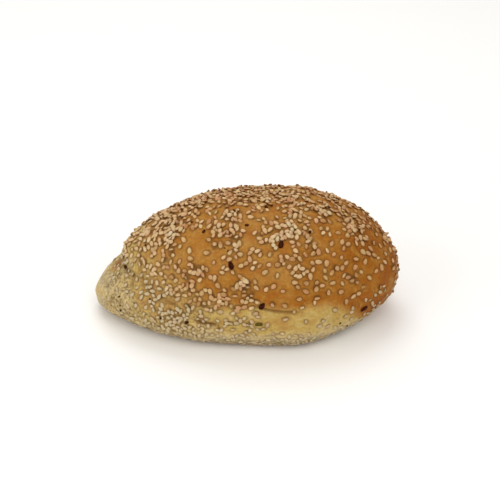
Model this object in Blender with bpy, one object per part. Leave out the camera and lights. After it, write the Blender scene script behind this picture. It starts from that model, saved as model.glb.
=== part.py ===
"""A whole, uncut oval bread roll crusted with sesame, as one solid.

The dough is two overlapping lobes. The upper lobe is the browned dome. The lower lobe is paler: it shows as a band
along the foot of the front, and it runs on past the dome as a drooping nose at the left end. The crease between
the two runs round the dome. Sesame seeds lie flat in the crust and are fused to it, with a few larger linseeds.

Frame: metres, +Z up, +X from the nose to the blunt end, -Y the front. The origin is on the flat base, under the
middle of the roll.
"""

import math
from dataclasses import dataclass

import bmesh
import bpy
import numpy as np
from mathutils import Matrix, Vector, noise
from mathutils.bvhtree import BVHTree

MM = 0.001
ROLL_LENGTH = 160 * MM
ROLL_WIDTH = 92 * MM
ROLL_HEIGHT = 66 * MM

# Both lobes hold this point, and the crust is shaped along rays from it.
HEART = Vector((0, 0, 20 * MM))
LONGEST_RAY = 120 * MM
RAY_HALVINGS = 26

# The crease between the lobes is sharp at the nose and soft from there on: (how far a ray leans along X, softness).
CREASE_SOFTNESS = ((-0.9, 1.5 * MM), (-0.4, 3 * MM), (0.6, 6 * MM))

# The dough sags towards the base over this much of each end.
DROOP_RUN = 26 * MM
NOSE_DROOP = 7 * MM
BLUNT_END_DROOP = 1.2 * MM

# Swellings of the dough: how far apart they are, and how high.
LUMPS = ((31 * MM, 1.5 * MM), (12 * MM, 0.55 * MM))

CUTS_PER_CUBE_SIDE = 15

SESAME_LENGTH = 3.2 * MM
SESAME_WIDTH = 1.95 * MM
SESAME_THICKNESS = 1.1 * MM
SEED_SIDES = 7
SEED_TAPER = 0.34
SEED_SIZE_SPREAD = 0.12
SEED_RISE = 0.12
SEED_TILT = math.radians(7)
SEED_SPACING = 8.2 * MM
SEED_CANDIDATES = 2600
LOWEST_SEED = 5 * MM
RANDOM_SEED = 41

LINSEED_LENGTH = 4.4 * MM
LINSEED_WIDTH = 2.6 * MM
LINSEED_THICKNESS = 1.5 * MM
# Where the linseeds lie on the front: along the roll, height above the base, and turn in the crust.
LINSEED_PLACES = (
    (16.7 * MM, 55.7 * MM, math.radians(75)),
    (-7.8 * MM, 47.7 * MM, math.radians(115)),
    (7.4 * MM, 29.0 * MM, math.radians(60)),
    (59.4 * MM, 17.7 * MM, math.radians(20)),
)


@dataclass(frozen=True)
class Lobe:
    """A swollen ellipsoid of dough, with its own reach each way from its widest place."""

    left: float
    widest_x: float
    right: float
    front: float
    back: float
    low: float
    waist: float
    top: float
    plan_fullness: float
    section_fullness: float

    def level(self, points):
        """1 on the lobe's skin, less inside it and more outside."""
        x = points[:, 0] - self.widest_x
        y = points[:, 1]
        z = points[:, 2] - self.waist
        along = np.abs(x) / np.where(x < 0, self.widest_x - self.left, self.right - self.widest_x)
        across = np.abs(y) / np.where(y < 0, -self.front, self.back)
        height = np.abs(z) / np.where(z < 0, self.waist - self.low, self.top - self.waist)
        plan = (along**self.plan_fullness + across**self.plan_fullness) ** (1 / self.plan_fullness)
        return (plan**self.section_fullness + height**self.section_fullness) ** (1 / self.section_fullness)

    def reach(self, directions):
        """How far the skin is from HEART along each direction, found by halving."""
        near = np.zeros(len(directions))
        far = np.full(len(directions), LONGEST_RAY)
        for _ in range(RAY_HALVINGS):
            middle = (near + far) / 2
            inside = self.level(np.array(HEART) + directions * middle[:, None]) < 1
            near = np.where(inside, middle, near)
            far = np.where(inside, far, middle)
        return (near + far) / 2


UPPER_LOBE = Lobe(
    left=-65.5 * MM,
    widest_x=10.5 * MM,
    right=ROLL_LENGTH / 2,
    front=-43.5 * MM,
    back=45.5 * MM,
    low=-8 * MM,
    waist=24.5 * MM,
    top=ROLL_HEIGHT,
    plan_fullness=1.93,
    section_fullness=2.1,
)
LOWER_LOBE = Lobe(
    left=-ROLL_LENGTH / 2,
    widest_x=12 * MM,
    right=70 * MM,
    front=-45.5 * MM,
    back=39.5 * MM,
    low=-6 * MM,
    waist=16 * MM,
    top=38 * MM,
    plan_fullness=2.0,
    section_fullness=2.5,
)


def clear_scene():
    """Removes every object of the scene that the script starts in."""
    for obj in list(bpy.data.objects):
        bpy.data.objects.remove(obj, do_unlink=True)


def new_collection(name):
    """An empty collection, linked to the scene."""
    collection = bpy.data.collections.new(name)
    bpy.context.scene.collection.children.link(collection)
    return collection


def new_object(name, shape, collection):
    """An object in the collection that takes the bmesh's shape."""
    mesh = bpy.data.meshes.new(name)
    shape.to_mesh(mesh)
    shape.free()
    obj = bpy.data.objects.new(name, mesh)
    collection.objects.link(obj)
    return obj


def crust_material():
    """Browned, seeded crust: the mean of the brown dough and its pale seeds."""
    material = bpy.data.materials.new("baked_sesame_crust")
    material.use_nodes = True
    shader = material.node_tree.nodes["Principled BSDF"]
    shader.inputs["Base Color"].default_value = (0.38, 0.21, 0.08, 1)
    shader.inputs["Roughness"].default_value = 0.6
    shader.inputs["Metallic"].default_value = 0
    return material


def joined_reach(directions):
    """How far the crust is along each direction: the further lobe, with the crease between them softened."""
    upper = UPPER_LOBE.reach(directions)
    lower = LOWER_LOBE.reach(directions)
    softness = np.interp(directions[:, 0], *zip(*CREASE_SOFTNESS))
    share = np.clip(0.5 + 0.5 * (upper - lower) / softness, 0, 1)
    fillet = softness * share * (1 - share)
    return lower * (1 - share) + upper * share + fillet


def drooped(points):
    """The points, with both ends of the roll sagging towards the base."""
    run = np.clip((np.abs(points[:, 0]) - (ROLL_LENGTH / 2 - DROOP_RUN)) / DROOP_RUN, 0, None)
    droop = np.where(points[:, 0] < 0, NOSE_DROOP, BLUNT_END_DROOP)
    points[:, 2] -= droop * run**2
    return points


def lump_heights(points):
    """How far the dough swells or dips at each point."""
    heights = np.zeros(len(points))
    for span, height in LUMPS:
        heights += [height * noise.noise(Vector(point / span)) for point in points]
    return heights


def crust_points(directions):
    """The point of the crust along each unit direction from HEART."""
    bare = np.array(HEART) + directions * joined_reach(directions)[:, None]
    return drooped(bare + directions * lump_heights(bare)[:, None])


def ray_directions(sphere_points):
    """Unit directions that spread over the long roll as evenly as the points do over the sphere."""
    stretched = sphere_points * np.array((ROLL_LENGTH, ROLL_WIDTH, ROLL_HEIGHT))
    return stretched / np.linalg.norm(stretched, axis=1)[:, None]


def make_roll(collection):
    """The bare roll: a gridded cube blown up to the crust and cut flat at the base."""
    shape = bmesh.new()
    bmesh.ops.create_cube(shape, size=2)
    bmesh.ops.subdivide_edges(shape, edges=shape.edges[:], cuts=CUTS_PER_CUBE_SIDE, use_grid_fill=True)
    cube = np.array([vert.co for vert in shape.verts])
    # The tangent evens out the squares, which would crowd at the cube's corners.
    sphere = np.tan(cube * math.pi / 4)
    sphere /= np.linalg.norm(sphere, axis=1)[:, None]
    for vert, point in zip(shape.verts, crust_points(ray_directions(sphere))):
        vert.co = point
    cut = bmesh.ops.bisect_plane(
        shape,
        geom=shape.verts[:] + shape.edges[:] + shape.faces[:],
        plane_co=(0, 0, 0),
        plane_no=(0, 0, -1),
        clear_outer=True,
    )
    rim = [item for item in cut["geom_cut"] if isinstance(item, bmesh.types.BMEdge)]
    bmesh.ops.contextual_create(shape, geom=rim)
    bmesh.ops.triangulate(shape, faces=shape.faces[:])
    bmesh.ops.recalc_face_normals(shape, faces=shape.faces[:])
    roll = new_object("sesame_roll", shape, collection)
    roll.data.materials.append(crust_material())
    return roll


def seed_shape(length, width, thickness):
    """A flat teardrop lying along X, with its pointed end at +X, upright sides and a low crown above and below."""
    shape = bmesh.new()
    bmesh.ops.create_uvsphere(shape, u_segments=SEED_SIDES, v_segments=3, radius=0.5)
    for vert in shape.verts:
        # The two rings lie 30 degrees above and below the sphere's middle, and make the seed's sides.
        x, y = vert.co.xy / math.cos(math.radians(30))
        taper = 1 - SEED_TAPER * 2 * x
        vert.co = (x * length, y * width * taper, vert.co.z * thickness)
    return shape


def lying_on(point, normal, turn, tilt):
    """The placing of a seed that lies flat on the crust, turned in it, with its pointed end a little raised."""
    to_crust = normal.to_track_quat("Z", "Y").to_matrix().to_4x4()
    return Matrix.Translation(point) @ to_crust @ Matrix.Rotation(turn, 4, "Z") @ Matrix.Rotation(tilt, 4, "Y")


def sesame_places():
    """(direction, size, turn, tilt) of each sesame seed, kept a spacing apart by dropping what falls too close."""
    draw = np.random.default_rng(RANDOM_SEED)
    sphere = draw.normal(size=(SEED_CANDIDATES, 3))
    sphere /= np.linalg.norm(sphere, axis=1)[:, None]
    directions = ray_directions(sphere)
    sizes = 1 + SEED_SIZE_SPREAD * draw.uniform(-1, 1, SEED_CANDIDATES)
    turns = draw.uniform(0, 2 * math.pi, SEED_CANDIDATES)
    tilts = draw.uniform(-SEED_TILT, SEED_TILT, SEED_CANDIDATES)
    kept_points = []
    places = []
    for i, point in enumerate(crust_points(directions)):
        clear = all(np.linalg.norm(point - other) > SEED_SPACING for other in kept_points)
        if clear and point[2] > LOWEST_SEED:
            kept_points.append(point)
            places.append((Vector(directions[i]), sizes[i], turns[i], tilts[i]))
    return places


def add_seed(collection, name, size, point, normal, turn, tilt):
    """One seed in the crust, its middle raised a little so that more of it shows than is sunk."""
    length, width, thickness = size
    seed = new_object(name, seed_shape(length, width, thickness), collection)
    seed.matrix_world = lying_on(point + normal * SEED_RISE * thickness, normal, turn, tilt)
    return seed


def add_sesame(collection, crust):
    """Sesame seeds over the crust, each lying where its ray from HEART comes out."""
    for i, (direction, scale, turn, tilt) in enumerate(sesame_places()):
        point, normal, _, _ = crust.ray_cast(HEART, direction)
        size = (SESAME_LENGTH * scale, SESAME_WIDTH * scale, SESAME_THICKNESS * scale)
        add_seed(collection, f"sesame_{i:03d}", size, point, normal, turn, tilt)


def add_linseeds(collection, crust):
    """The few dark linseeds on the front, found by looking at the roll from the front."""
    for i, (along, height, turn) in enumerate(LINSEED_PLACES):
        point, normal, _, _ = crust.ray_cast(Vector((along, -ROLL_WIDTH, height)), Vector((0, 1, 0)))
        size = (LINSEED_LENGTH, LINSEED_WIDTH, LINSEED_THICKNESS)
        add_seed(collection, f"linseed_{i}", size, point, normal, turn, 0)


def fuse(obj, toppings):
    """Joins the toppings to the object with one Boolean union, applies it and removes them."""
    joint = obj.modifiers.new("fused_seeds", "BOOLEAN")
    joint.operation = "UNION"
    joint.operand_type = "COLLECTION"
    joint.collection = toppings
    joint.solver = "EXACT"
    graph = bpy.context.evaluated_depsgraph_get()
    fused = bpy.data.meshes.new_from_object(obj.evaluated_get(graph))
    obj.modifiers.clear()
    obj.data = fused
    for seed in list(toppings.objects):
        bpy.data.objects.remove(seed, do_unlink=True)
    bpy.data.collections.remove(toppings)


def main():
    """Builds the roll and fuses its seeds to it."""
    clear_scene()
    roll = make_roll(new_collection("sesame_bread_roll"))
    bare = bmesh.new()
    bare.from_mesh(roll.data)
    crust = BVHTree.FromBMesh(bare)
    bare.free()
    toppings = new_collection("toppings")
    add_sesame(toppings, crust)
    add_linseeds(toppings, crust)
    fuse(roll, toppings)
    roll.data.shade_smooth()
    roll.data.set_sharp_from_angle(angle=math.radians(40))


main()
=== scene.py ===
"""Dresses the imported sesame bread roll: its crust at full detail, its seeds, and a plain studio round it.

The roll is one baked piece of dough. The crust is made again here over the same form as the solid's, fine enough
for blisters, wrinkles and folds, and it stands for the solid. The seeds that are fused to the solid are pieces of
their own here, for their colours, with the rest of the real roll's seeds among them.

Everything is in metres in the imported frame: +Z up, +X from the drooping nose to the blunt end, -Y the front, with
the origin on the base.
"""

import logging
import math
from abc import ABC, abstractmethod
from collections.abc import Callable, Iterable, Mapping, Sequence
from dataclasses import dataclass, field, fields
from enum import Enum
from functools import partial
from typing import Any

import bpy
import numpy as np
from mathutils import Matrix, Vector, noise
from mathutils.bvhtree import BVHTree
from mathutils.kdtree import KDTree


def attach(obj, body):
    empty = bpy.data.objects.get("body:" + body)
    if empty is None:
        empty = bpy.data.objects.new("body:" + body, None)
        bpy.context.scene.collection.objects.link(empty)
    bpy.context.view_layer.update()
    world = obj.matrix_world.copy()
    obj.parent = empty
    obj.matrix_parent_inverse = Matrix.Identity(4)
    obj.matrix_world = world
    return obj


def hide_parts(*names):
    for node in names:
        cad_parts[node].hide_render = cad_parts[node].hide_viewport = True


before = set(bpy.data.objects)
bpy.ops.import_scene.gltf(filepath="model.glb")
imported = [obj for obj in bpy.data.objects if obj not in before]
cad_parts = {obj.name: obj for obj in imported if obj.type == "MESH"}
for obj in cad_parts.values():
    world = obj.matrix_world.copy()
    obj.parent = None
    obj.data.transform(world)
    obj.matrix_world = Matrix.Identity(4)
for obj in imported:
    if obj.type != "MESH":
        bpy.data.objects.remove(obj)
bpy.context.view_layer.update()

LOG = logging.getLogger("sesame_roll")

MM = 0.001
CM2 = 0.0001
BODY = "root"
ROLL_NODE = "sesame_roll"

# A mix node's inputs: its share, the two numbers that it goes between, and the two colours.
SHARE, LOW, HIGH, UNDER, OVER = 0, 2, 3, 6, 7
# The outputs for a mixed colour, an attribute's number, and the piece's own coordinates.
MIXED, NUMBER, OBJECT = 2, 2, 3

Places = np.ndarray
Values = np.ndarray
Rows = tuple[tuple[float, ...], ...]
Socket = bpy.types.NodeSocket
AddNode = Callable[..., Socket]


class Mark(str, Enum):
    """The numbers that a mesh carries at its points, for its material to read."""

    # How browned the crust is, with painted shade at the foot.
    BAKE = "bake"
    # Painted shade in the folds and the nose's crease.
    FOLD = "fold"
    SOLE = "sole"
    # Painted contact shade round each seed, with some real browning.
    SEED_EDGE = "seed_edge"
    GRAIN = "grain"
    TONE = "tone"
    FLOUR = "flour"
    CROWN = "crown"
    TIP = "tip"


class SeedKind(str, Enum):
    """How a sesame seed came out of the oven, which is also its piece's name."""

    TOASTED = "toasted_sesame"
    FLOURED = "floured_sesame"


def mm(*lengths: float) -> tuple[float, ...]:
    """Turns lengths in millimetres to metres."""
    return tuple(length * MM for length in lengths)


def rgb(code: str) -> tuple[float, float, float, float]:
    """Turns an sRGB hex colour to the linear one that a socket takes.

    Args:
        code: The colour as six hex digits.

    Returns:
        Linear red, green and blue, and an alpha of 1.
    """
    shares = [int(code[i : i + 2], 16) / 255 for i in (0, 2, 4)]
    linear = [share / 12.92 if share <= 0.04045 else ((share + 0.055) / 1.055) ** 2.4 for share in shares]
    return (*linear, 1.0)


def smooth_step(values: Values, low: float, high: float) -> Values:
    """Goes smoothly from 0 where a value is at low to 1 where it is at high."""
    share = np.clip((values - low) / (high - low), 0, 1)
    return share * share * (3 - 2 * share)


def noise_at(points: Places, span: float) -> Values:
    """Reads smooth noise between about -1 and 1 at each point, with its swellings a span apart."""
    return np.array([noise.noise(Vector(point)) for point in points / span])


def nearness(points: Places, centre: Sequence[float], radius: float) -> Values:
    """How near each point is to a centre: 1 on it, fading to 0 by about two radii."""
    return np.exp(-((np.linalg.norm(points - centre, axis=1) / radius) ** 2))


def deselect_all() -> None:
    """Leaves nothing selected and nothing in edit mode."""
    if bpy.context.mode != "OBJECT":
        bpy.ops.object.mode_set(mode="OBJECT")
    bpy.ops.object.select_all(action="DESELECT")


def points_of(piece: bpy.types.Object) -> Places:
    """Reads a piece's points.

    Args:
        piece: The mesh object.

    Returns:
        The place of every point, in metres.
    """
    points = np.empty(len(piece.data.vertices) * 3)
    piece.data.vertices.foreach_get("co", points)
    return points.reshape(-1, 3)


def set_points(piece: bpy.types.Object, points: Places) -> None:
    """Moves every point of the piece to its new place."""
    piece.data.vertices.foreach_set("co", np.ascontiguousarray(points, np.float32).ravel())
    piece.data.update()


def set_mark(piece: bpy.types.Object, mark: Mark, values: Values) -> None:
    """Writes one number at each point of the piece, under the mark's name."""
    attribute = piece.data.attributes.get(mark.value) or piece.data.attributes.new(mark.value, "FLOAT", "POINT")
    attribute.data.foreach_set("value", np.ascontiguousarray(values, np.float32))


def apply_modifier(piece: bpy.types.Object, kind: str, **settings: Any) -> None:
    """Adds a modifier to the piece and applies it at once.

    Args:
        piece: The mesh object, which becomes the active one.
        kind: Blender's name for the modifier's type.
        **settings: The modifier's settings.
    """
    bpy.context.view_layer.objects.active = piece
    modifier = piece.modifiers.new(kind.lower(), kind)
    for name, value in settings.items():
        setattr(modifier, name, value)
    bpy.ops.object.modifier_apply(modifier=modifier.name)


def dress(piece: bpy.types.Object, material: bpy.types.Material) -> None:
    """Gives the piece its one material, smooth faces and its place in the frame.

    Args:
        piece: The finished mesh object.
        material: Its material.
    """
    piece.data.materials.clear()
    piece.data.materials.append(material)
    piece.data.shade_smooth()
    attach(piece, BODY)
    triangles = sum(len(face.vertices) - 2 for face in piece.data.polygons)
    LOG.info("%s: %d triangles", piece.name, triangles)


def plug(tree: bpy.types.NodeTree, node: bpy.types.Node, inputs: Mapping[str | int, Any] | Sequence[Any]) -> None:
    """Links or sets a node's inputs.

    Args:
        tree: The material's node tree.
        node: The node.
        inputs: What the inputs get, by name or in order: another node's output, or a fixed value.
    """
    for name, value in inputs.items() if isinstance(inputs, Mapping) else enumerate(inputs):
        if isinstance(value, Socket):
            tree.links.new(value, node.inputs[name])
        else:
            node.inputs[name].default_value = value


def add_node(
    tree: bpy.types.NodeTree,
    kind: str,
    inputs: Mapping[str | int, Any] | Sequence[Any] = (),
    out: int = 0,
    stops: Iterable[tuple[float, str]] = (),
    **settings: Any,
) -> Socket:
    """Adds one node with its settings, its values and its links.

    Args:
        tree: The material's node tree.
        kind: Blender's name for the node's type, without the ShaderNode that it starts with.
        inputs: What the inputs get, by name or in order: another node's output, or a fixed value.
        out: Which of its outputs is wanted.
        stops: A colour ramp's places and hex colours.
        **settings: The node's own settings.

    Returns:
        The wanted output.
    """
    node = tree.nodes.new(f"ShaderNode{kind}")
    for name, value in settings.items():
        setattr(node, name, value)
    plug(tree, node, inputs)
    for i, (place, colour) in enumerate(stops):
        elements = node.color_ramp.elements
        element = elements[i] if i < len(elements) else elements.new(place)
        element.position = place
        element.color = rgb(colour)
    return node.outputs[out]


@dataclass(frozen=True, kw_only=True)
class Finish(ABC):
    """What every finish has: how it gives back light, and how high its fine relief is."""

    name: str
    roughness: float
    ior: float = 1.5
    glance: float = 0.5
    relief_height: float = 0.05 * MM
    relief_strength: float = 0.5

    @abstractmethod
    def pattern(self, node: AddNode, place: Socket) -> tuple[Any, Socket]:
        """Adds the nodes that colour the finish.

        Args:
            node: Adds a node to the finish's material.
            place: The piece's own coordinates.

        Returns:
            The finish's colour and its relief.
        """

    def material(self) -> bpy.types.Material:
        """Makes the finish's material.

        Returns:
            The material.
        """
        material = bpy.data.materials.new(self.name)
        material.use_nodes = True
        tree = material.node_tree
        node = partial(add_node, tree)
        colour, relief = self.pattern(node, node("TexCoord", out=OBJECT))
        bump = node("Bump", {"Height": relief, "Distance": self.relief_height, "Strength": self.relief_strength})
        light = {"Roughness": self.roughness, "IOR": self.ior, "Specular IOR Level": self.glance}
        plug(tree, tree.nodes["Principled BSDF"], {"Base Color": colour, "Normal": bump, **light})
        return material


@dataclass(frozen=True, kw_only=True)
class BakedCrust(Finish):
    """The crust of a lean wheat dough, steamed and oven baked: matt, dry and browned by its sugars.

    It gives the eye a golden brown that deepens to chestnut where the oven was hottest, and pale, floury dough with
    small pores where the crust rose late or lay against the sheet. Painted shade darkens the foot, the folds and a
    thin line round each seed.
    """

    name: str = "baked_wheat_crust"
    roughness: float = 0.6
    ior: float = 1.45
    # Dry, porous crust gives back only a little of the glance that a smooth skin would.
    glance: float = 0.1
    relief_height: float = 0.09 * MM
    relief_strength: float = 0.7
    # From the foot, darkened and greyed there with painted shade, and the nose over pale dough, straw, gold
    # and brown to chestnut and the deepest brown.
    browning: tuple[tuple[float, str], ...] = (
        (0.0, "9c9174"), (0.1, "c6b082"), (0.24, "b69a56"), (0.38, "a97f42"),
        (0.55, "a57433"), (0.72, "9b641f"), (0.88, "8c4f0b"), (1.0, "7b460f"),
    )
    ruddy: str = "9c5418"
    golden: str = "b88a42"
    mealy: str = "a99262"
    pore: str = "6b4a24"
    bran: str = "7d5a30"
    sole: str = "9c6f38"
    floury_sole: str = "b69a56"
    # The line round each seed: painted contact shade, with some real browning, paler on pale dough.
    pale_seed_edge: str = "7d6436"
    brown_seed_edge: str = "6a3b0d"
    # The colour of the painted shade in the folds and the nose's crease.
    crease: str = "6c461b"
    patch_size: float = 11 * MM
    blush_size: float = 7 * MM
    streak_size: float = 3.2 * MM
    streak_stretch: tuple[float, float, float] = (0.45, 1.0, 1.0)
    mottle_size: float = 3.6 * MM
    grain_size: float = 1.3 * MM
    meal_size: float = 1.3 * MM
    pore_spacing: float = 2.0 * MM

    def pattern(self, node: AddNode, place: Socket) -> tuple[Socket, Socket]:
        """Adds the nodes that colour the crust by how baked, coarse, folded and seeded it is.

        Args:
            node: Adds a node to the crust's material.
            place: The crust's own coordinates.

        Returns:
            The crust's colour and its grain.
        """
        bake, fold, sole, seed_edge, coarse = (
            node("Attribute", out=NUMBER, attribute_name=mark.value)
            for mark in (Mark.BAKE, Mark.FOLD, Mark.SOLE, Mark.SEED_EDGE, Mark.GRAIN)
        )
        stretched = node("Mapping", {"Vector": place, "Scale": self.streak_stretch})
        patches, streaks, blushes, grain, meal, mottles = (
            node(
                "TexNoise",
                {"Vector": where, "Scale": 1 / size, "Detail": detail, "Roughness": rough, "Distortion": warp},
            )
            for where, size, detail, rough, warp in (
                (place, self.patch_size, 5.0, 0.6, 0.0),
                (stretched, self.streak_size, 4.0, 0.5, 0.6),
                (place, self.blush_size, 6.0, 0.65, 0.8),
                (place, self.grain_size, 6.0, 0.65, 0.0),
                (place, self.meal_size, 2.0, 0.6, 0.0),
                (place, self.mottle_size, 2.0, 0.5, 0.0),
            )
        )
        pores = node("TexVoronoi", {"Vector": place, "Scale": 1 / self.pore_spacing})

        # Browning shifts by patch and by streak before it is turned to a colour.
        by_patch = node("Math", (patches, 0.48, bake), operation="MULTIPLY_ADD")
        by_streak = node("Math", (streaks, 0.3, by_patch), operation="MULTIPLY_ADD")
        browned = node("Math", (by_streak, 0.39), operation="SUBTRACT")
        colour = node("ValToRGB", (browned,), stops=self.browning)

        # Sugar-rich spots blush redder and stretched skin stays more golden. Coarse dough, which no skin sealed,
        # is mealy, with small pores. Each row is a pattern, the reach that shows, and the least and most of it.
        for pattern, start, end, least, most, mark, tint in (
            (blushes, 0.49, 0.68, 0.0, 0.85, bake, self.ruddy),
            (blushes, 0.47, 0.3, 0.0, 0.85, bake, self.golden),
            (blushes, 0.36, 0.6, 0.1, 0.85, coarse, self.mealy),
            (pores, 0.14, 0.3, 0.8, 0.0, coarse, self.pore),
        ):
            spread = node("MapRange", (pattern, start, end, least, most))
            share = node("Math", (spread, mark), operation="MULTIPLY")
            colour = node("Mix", {SHARE: share, UNDER: colour, OVER: rgb(tint)}, MIXED, data_type="RGBA")
        # The pores, which have the last share, are sunk in the grain.
        relief = node("Math", (share, -0.8, grain), operation="MULTIPLY_ADD")

        # The grain lightens and darkens the crust a little, and coarse, mealy dough much more.
        grain_shade, meal_shade, mottle, floury = (
            node("MapRange", spread)
            for spread in (
                (grain, 0.3, 0.7, 0.8, 1.18),
                (meal, 0.32, 0.66, 0.62, 1.26),
                (mottles, 0.36, 0.64, -0.26, 0.17),
                (patches, 0.42, 0.62, 0.0, 1.0),
            )
        )
        even_shade = node("Mix", {SHARE: coarse, LOW: grain_shade, HIGH: meal_shade}, data_type="FLOAT")
        shade = node("Math", (mottle, coarse, even_shade), operation="MULTIPLY_ADD")
        colour = node("VectorMath", {0: colour, "Scale": shade}, operation="SCALE")

        # The darkest grains are bran, which is brown and never grey. The sole lay on the sheet and browned evenly,
        # with paler floury patches. A thin line round each seed is painted contact shade, with some real browning,
        # and the folds and the nose's crease get painted shade.
        sole_colour, seed_shade_colour = (
            node("Mix", {SHARE: share, UNDER: rgb(under), OVER: rgb(over)}, MIXED, data_type="RGBA")
            for share, under, over in (
                (floury, self.sole, self.floury_sole),
                (bake, self.pale_seed_edge, self.brown_seed_edge),
            )
        )
        for share, over in (
            (node("MapRange", (shade, 0.82, 0.45, 0.0, 0.75)), rgb(self.bran)),
            (sole, sole_colour),
            (seed_edge, seed_shade_colour),
            (fold, rgb(self.crease)),
        ):
            colour = node("Mix", {SHARE: share, UNDER: colour, OVER: over}, MIXED, data_type="RGBA")
        return colour, relief


@dataclass(frozen=True, kw_only=True)
class SesameHull(Finish):
    """A hulled sesame seed after baking: cream to light tan, oily enough for a faint sheen, browner at its pointed
    end, with painted shade on its low rim where it meets the crust.
    """

    # From toasted over tan and cream to the lightest.
    shades: tuple[str, str, str, str]
    shade_places: tuple[float, float, float, float] = (0.0, 0.3, 0.65, 1.0)
    # The colour of the low rim's painted shade and of the pointed end's real brown.
    edge: str
    floury: str
    pink: str = "bf8864"
    straw: str = "c0a873"
    roughness: float = 0.5
    ior: float = 1.47
    glance: float = 0.3
    relief_strength: float = 0.6
    streak_size: float = 1.2 * MM
    tint_size: float = 3.4 * MM

    def pattern(self, node: AddNode, place: Socket) -> tuple[Socket, Socket]:
        """Adds the nodes that colour the seeds by each one's tone and flour, and by how deep a point lies.

        Args:
            node: Adds a node to the seeds' material.
            place: The seeds' own coordinates.

        Returns:
            The seeds' colour and their fine streaks.
        """
        tone, flour, crown, tip = (
            node("Attribute", out=NUMBER, attribute_name=mark.value)
            for mark in (Mark.TONE, Mark.FLOUR, Mark.CROWN, Mark.TIP)
        )
        streaks, tints = (
            node("TexNoise", {"Vector": place, "Scale": 1 / size, "Detail": detail})
            for size, detail in ((self.streak_size, 3.0), (self.tint_size, 0.0))
        )
        toned = node("Math", (streaks, 0.9, tone), operation="MULTIPLY_ADD")
        shade = node("Math", (toned, 0.45), operation="SUBTRACT")
        colour = node("ValToRGB", (shade,), stops=zip(self.shade_places, self.shades))
        # Neighbouring seeds differ in hue: some are pinker and some more like straw. The low rim, where the seed
        # meets the crust, takes painted shade and the pointed end takes real brown, and flour hides some of both.
        pinker, strawy, low, pointed, bare = (
            node("MapRange", spread)
            for spread in (
                (tints, 0.5, 0.74, 0.0, 0.45),
                (tints, 0.5, 0.28, 0.0, 0.6),
                (crown, 0.7, 0.0, 0.0, 1.0),
                (tip, 0.45, 1.0, 0.0, 0.55),
                (flour, 0.0, 1.0, 1.0, 0.45),
            )
        )
        rim_shade_and_tip = node("Math", (low, pointed), operation="MAXIMUM")
        browned = node("Math", (rim_shade_and_tip, bare), operation="MULTIPLY")
        for share, tint in ((pinker, self.pink), (strawy, self.straw), (flour, self.floury), (browned, self.edge)):
            colour = node("Mix", {SHARE: share, UNDER: colour, OVER: rgb(tint)}, MIXED, data_type="RGBA")
        return colour, streaks


@dataclass(frozen=True, kw_only=True)
class DarkHull(Finish):
    """A dark, hard seed coat, a dark fleck or a dried leaf: nearly black or olive, and browner where it is thin."""

    dark: str
    light: str
    ior: float = 1.48
    glance: float = 0.05
    mottle_size: float = 1.1 * MM

    def pattern(self, node: AddNode, place: Socket) -> tuple[Socket, Socket]:
        """Mottles the thing between its two colours, with a relief to match."""
        mottle = node("TexNoise", {"Vector": place, "Scale": 1 / self.mottle_size, "Detail": 4.0})
        return node("ValToRGB", (mottle,), stops=((0.35, self.dark), (0.7, self.light))), mottle


@dataclass(frozen=True, kw_only=True)
class PaintedFloor(Finish):
    """Studio board rolled with matt white paint: an even white, with no glare and barely a grain."""

    name: str = "matt_white_board"
    colour: str = "faf9f7"
    roughness: float = 0.9
    relief_height: float = 0.02 * MM
    relief_strength: float = 0.2
    nap_size: float = 2.5 * MM

    def pattern(self, node: AddNode, place: Socket) -> tuple[tuple[float, ...], Socket]:
        """Gives the floor its one colour, and the faint unevenness of rolled paint."""
        return rgb(self.colour), node("TexNoise", {"Vector": place, "Scale": 1 / self.nap_size})


@dataclass(frozen=True)
class Lobe:
    """A swollen ellipsoid of dough, with its own reach each way from its widest place."""

    left: float
    widest_x: float
    right: float
    front: float
    back: float
    low: float
    waist: float
    top: float
    plan_fullness: float
    section_fullness: float

    def level(self, points: Places) -> Values:
        """Tells inside from outside.

        Args:
            points: Places in the roll's frame.

        Returns:
            1 on the lobe's skin, less inside it and more outside.
        """
        x = points[:, 0] - self.widest_x
        y = points[:, 1]
        z = points[:, 2] - self.waist
        along = np.abs(x) / np.where(x < 0, self.widest_x - self.left, self.right - self.widest_x)
        across = np.abs(y) / np.where(y < 0, -self.front, self.back)
        height = np.abs(z) / np.where(z < 0, self.waist - self.low, self.top - self.waist)
        plan = (along**self.plan_fullness + across**self.plan_fullness) ** (1 / self.plan_fullness)
        return (plan**self.section_fullness + height**self.section_fullness) ** (1 / self.section_fullness)


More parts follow.
